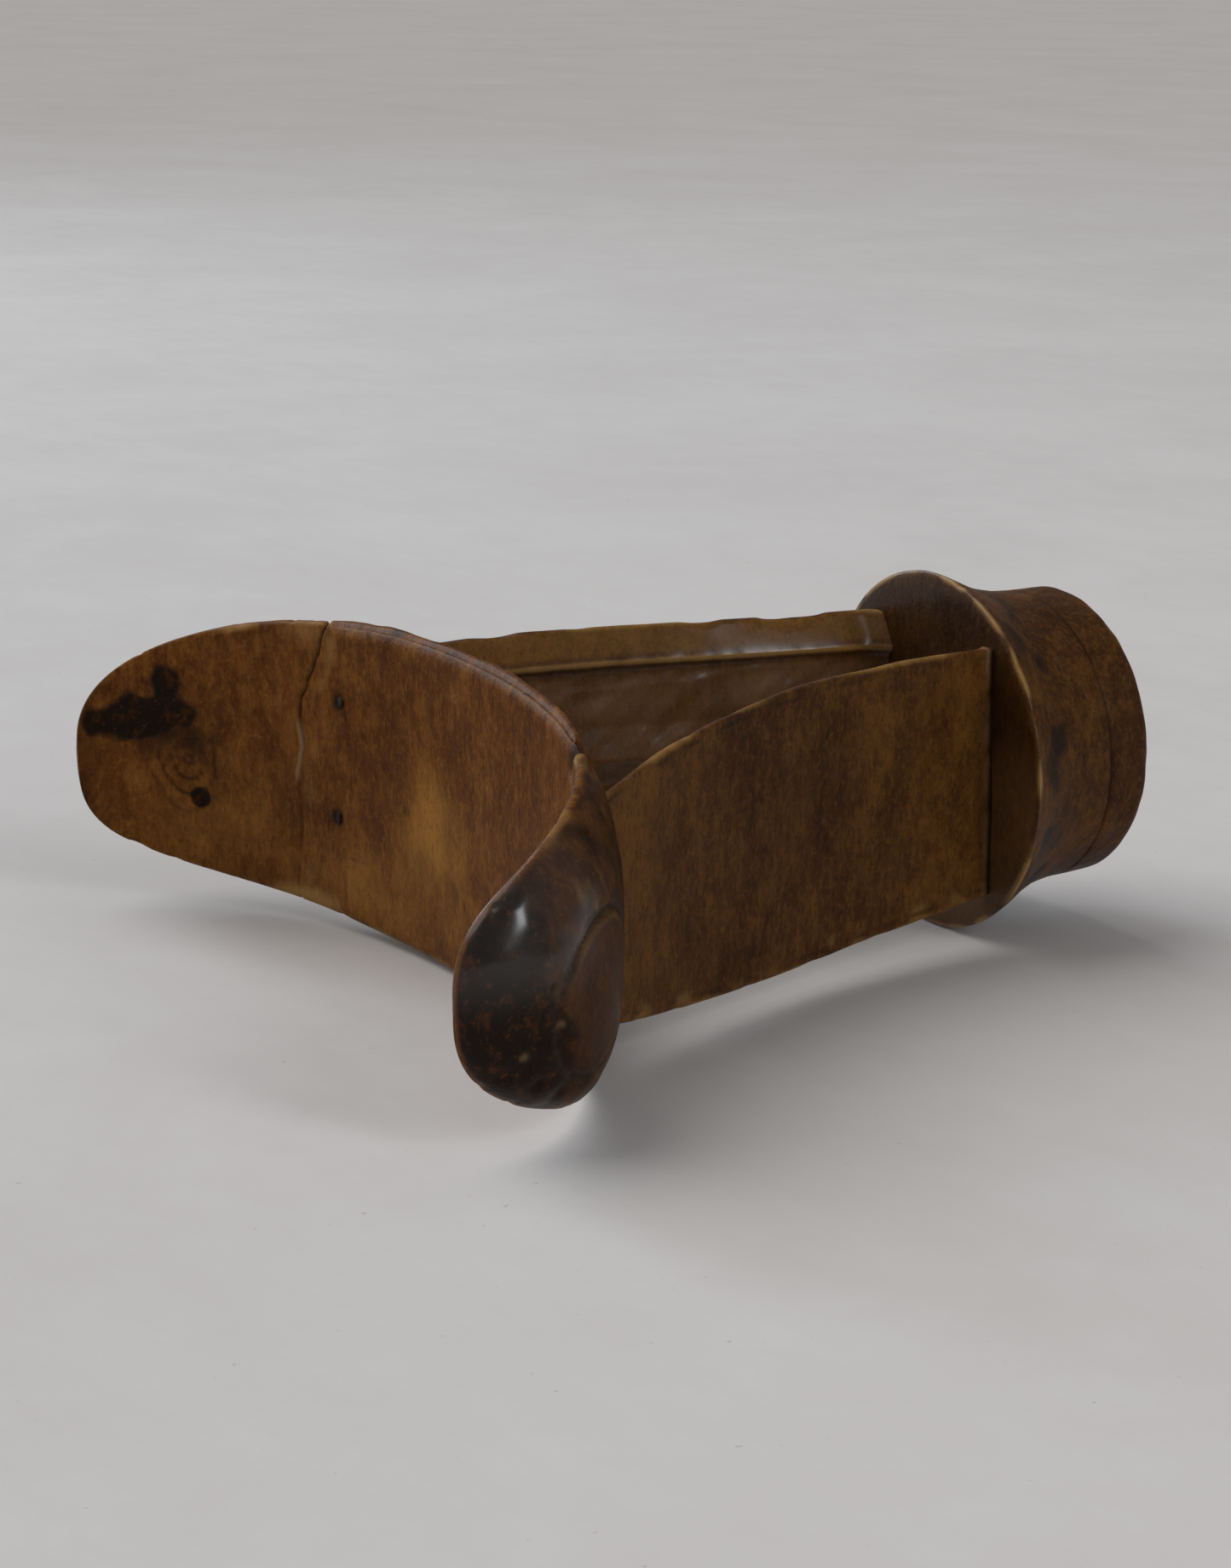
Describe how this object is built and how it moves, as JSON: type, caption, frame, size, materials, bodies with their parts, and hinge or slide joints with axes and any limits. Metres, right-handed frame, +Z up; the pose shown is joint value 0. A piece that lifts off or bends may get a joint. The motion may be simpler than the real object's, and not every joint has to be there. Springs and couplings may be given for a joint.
{
  "type": "carved wooden headrest",
  "caption": "Hand-carved wooden headrest on its side: curved saddle for the head, flaring side panels with an open window, and a round flanged foot.",
  "frame": {"origin": "on the ground under the middle of the headrest as it lies on its side", "axes": "+Z up; +X from the saddle to the foot; the headrest lies on the flange's rim and the middle of the saddle's long edge"},
  "size_m": [0.1912, 0.1906, 0.0739],
  "materials": {
    "saddle_wood": "hand-worn, waxed by use, satin to glossy",
    "stem_wood": "knife-cut, dark, satin",
    "iron": "dark, worn"
  },
  "bodies": {
    "root": {"head_rest": "saddle_wood", "far_lobe": "saddle_wood", "near_medallion": "saddle_wood", "far_medallion": "saddle_wood", "near_panel": "stem_wood", "far_panel": "stem_wood", "flange_disc": "stem_wood", "base_drum": "stem_wood", "repair_nail_upper": "iron", "repair_nail_lower": "iron"}
  },
  "joints": []
}
